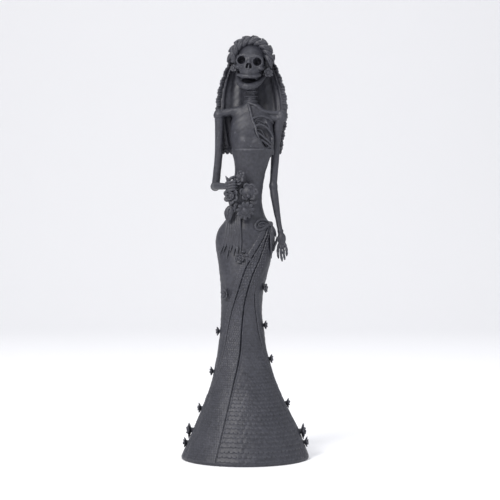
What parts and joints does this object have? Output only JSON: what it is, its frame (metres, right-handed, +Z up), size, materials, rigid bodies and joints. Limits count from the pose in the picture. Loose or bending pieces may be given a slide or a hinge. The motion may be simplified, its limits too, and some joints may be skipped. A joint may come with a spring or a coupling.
{
  "type": "catrina figure",
  "caption": "Standing skeleton lady in a flared dress with veil, braided crown and bouquet, a dark fired-clay ornament for a shelf or table.",
  "frame": {"origin": "middle of the flat underside of the hem, on the surface the figure stands on", "axes": "+Z up along the figure, -Y the way she faces, +X to the viewer's right"},
  "size_m": [0.1202, 0.1098, 0.4],
  "materials": {
    "black_clay": "dark blue-grey fired clay, unglazed, burnished to a low satin on the smooth parts and matt in the carving"
  },
  "bodies": {
    "root": {"catrina_figure": "black_clay"}
  },
  "joints": []
}
